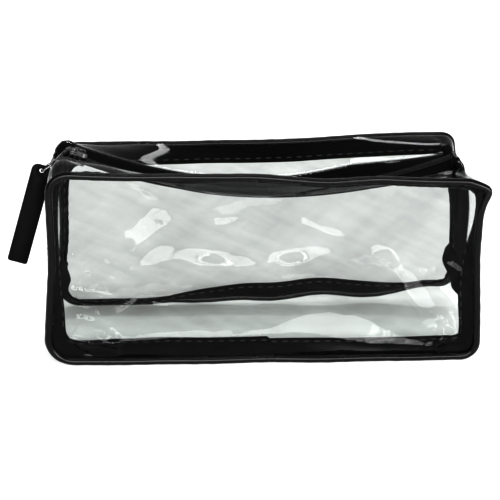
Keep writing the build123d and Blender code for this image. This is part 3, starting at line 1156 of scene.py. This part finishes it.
# The strap's layers: how far an outline is inside the widest one, and its height in half
# thicknesses. The slot's: how many times its radius, and the height.
STRAP_LAYERS = [(0.45, -1.0), (0.12, -0.8), (0.0, -0.4), (0.0, 0.4), (0.12, 0.8), (0.45, 1.0)]
SLOT_R = 1.35
SLOT_LAYERS = [(1.12, -1.0), (1.0, -0.6), (1.0, 0.6), (1.12, 1.0)]


def strap_outline(inset):
    """The strap's outline as (down, across), a distance inside its edge."""
    head, foot, half = -STRAP_HEAD, STRAP_LENGTH, STRAP_HALF_W
    ring = rounded([(head, -half, 3.4), (foot, -half, 1.3), (foot, half, 1.3), (head, half, 3.4)])
    ring = resample(np.concatenate([ring, ring[:1]]), 121)[:-1]
    centre = np.array([(STRAP_LENGTH - STRAP_HEAD) / 2, 0])
    away = ring - centre
    return centre + away * (1 - inset / np.linalg.norm(away, axis=1))[:, None]


def strap_points(ring, height):
    """A ring of (down, across) as points, at a height over the strap's slightly bowed middle."""
    down = (STRAP_FOOT - SLOT) / STRAP_LENGTH
    across = np.array([-down[1], down[0]])
    xz = SLOT + ring @ np.array([down, across])
    bow = 0.9 * np.sin(np.pi * np.clip(ring[:, 0] / STRAP_LENGTH, 0, 1) ** 1.3)
    return np.stack([xz[:, 0], height * STRAP_HALF_T - bow, xz[:, 1]], -1)


def add_wall(work, rings):
    """Faces from ring to ring; its first and last loops of vertices."""
    verts = [work.verts.new(p) for p in np.concatenate(rings) * MM]
    n = len(rings[0])
    for corners in grid_faces(len(rings), n, closed_cols=True):
        work.faces.new([verts[i] for i in corners])
    return verts[:n], verts[-n:]


def make_strap():
    """A flat moulded strap with rounded edges, and a slot that the ring passes through."""
    turns = np.linspace(0, 2 * np.pi, 48, endpoint=False)
    circle = SLOT_R * np.stack([np.cos(turns), np.sin(turns)], -1)
    work = bmesh.new()
    edge = add_wall(work, [strap_points(strap_outline(inset), at) for inset, at in STRAP_LAYERS])
    slot = add_wall(work, [strap_points(circle * widen, at) for widen, at in SLOT_LAYERS])
    for loops in zip(edge, slot):
        ends = [(loop[k - 1], loop[k]) for loop in loops for k in range(len(loop))]
        bmesh.ops.triangle_fill(work, edges=[work.edges.get(e) for e in ends], use_beauty=True)
    bmesh.ops.recalc_face_normals(work, faces=work.faces)
    mesh = bpy.data.meshes.new("strap")
    work.to_mesh(mesh)
    work.free()
    piece = add_piece("strap", mesh, STRAP)
    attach(piece, "pull_strap")
    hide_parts("pull_tab")


make_strap()

# ---- Floor, light and camera

# Where the camera looks and how far away it is, in metres, and its angles
TARGET = Vector((-0.005045, 0, 0.049717))
DISTANCE = 0.74506
ELEVATION = radians(21.105)
AZIMUTH = radians(-3.224)
ROLL = radians(0.57)
LENS = 96.9  # on a sensor 36 wide

# Azimuth and elevation in degrees; distance, width and height in metres; watts
SOFTBOXES = {
    "key": (-8, 27, 1.6, 0.9, 0.14, 13),
    "low": (4, 13, 1.6, 1.8, 0.5, 60),
    "left": (-36, 14, 1.5, 0.14, 0.5, 6),
    "right": (48, 11, 1.6, 1.1, 0.66, 38),
    "top": (10, 76, 1.5, 0.7, 0.16, 9),
    "back": (170, 50, 2.2, 1.2, 0.3, 22),
}


def floor():
    """A pale floor with a hardly visible mottle."""
    mesh = bpy.data.meshes.new("floor")
    half = 6.0
    mesh.from_pydata(
        [(-half, -half, 0), (half, -half, 0), (half, half, 0), (-half, half, 0)], [], [(0, 1, 2, 3)]
    )
    mat, tree, out = material("floor")
    shader = principled(tree, out, (0.93, 0.93, 0.93), 0.7, Specular_IOR_Level=0.1)
    shade = node(tree, "ShaderNodeMix", data_type="RGBA")
    shade.inputs["A"].default_value = (0.92, 0.92, 0.92, 1)
    shade.inputs["B"].default_value = (0.94, 0.94, 0.94, 1)
    tree.links.new(noise(tree, 8.0), shade.inputs["Factor"])
    tree.links.new(shade.outputs["Result"], shader.inputs["Base Color"])
    mesh.materials.append(mat)
    piece = bpy.data.objects.new("floor", mesh)
    bpy.context.collection.objects.link(piece)


def softbox(name, azimuth, elevation, distance, width, height, power):
    """An area light round the bag, aimed at its middle."""
    az, el = radians(azimuth), radians(elevation)
    way = Vector((np.sin(az) * np.cos(el), -np.cos(az) * np.cos(el), np.sin(el)))
    data = bpy.data.lights.new(name, "AREA")
    data.shape = "RECTANGLE"
    data.size = width
    data.size_y = height
    data.energy = power
    lamp = bpy.data.objects.new(name, data)
    lamp.location = TARGET + way * distance
    lamp.rotation_euler = way.to_track_quat("Z", "Y").to_euler()
    lamp.visible_camera = False
    bpy.context.collection.objects.link(lamp)


def camera():
    """The camera at the photograph's angle."""
    back = Vector(
        (
            np.sin(AZIMUTH) * np.cos(ELEVATION),
            -np.cos(AZIMUTH) * np.cos(ELEVATION),
            np.sin(ELEVATION),
        )
    )
    right = Vector((0, 0, 1)).cross(back).normalized()
    up = back.cross(right)
    right_rolled = right * np.cos(ROLL) + up * np.sin(ROLL)
    up_rolled = up * np.cos(ROLL) - right * np.sin(ROLL)
    data = bpy.data.cameras.new("camera")
    data.lens = LENS
    data.sensor_width = 36
    data.clip_start = 0.01
    made = bpy.data.objects.new("camera", data)
    turn = Matrix((right_rolled, up_rolled, back)).transposed()
    made.matrix_world = Matrix.Translation(TARGET + back * DISTANCE) @ turn.to_4x4()
    bpy.context.collection.objects.link(made)
    bpy.context.scene.camera = made


def world():
    """Even white surroundings."""
    made = bpy.data.worlds.new("studio")
    made.use_nodes = True
    background = made.node_tree.nodes["Background"]
    background.inputs["Color"].default_value = (1, 1, 1, 1)
    background.inputs["Strength"].default_value = 0.75
    bpy.context.scene.world = made


floor()
for name, settings in SOFTBOXES.items():
    softbox(name, *settings)
world()
camera()
view = bpy.context.scene.view_settings
view.view_transform = "Standard"
view.look = "None"
view.exposure = -0.42
view.gamma = 0.64
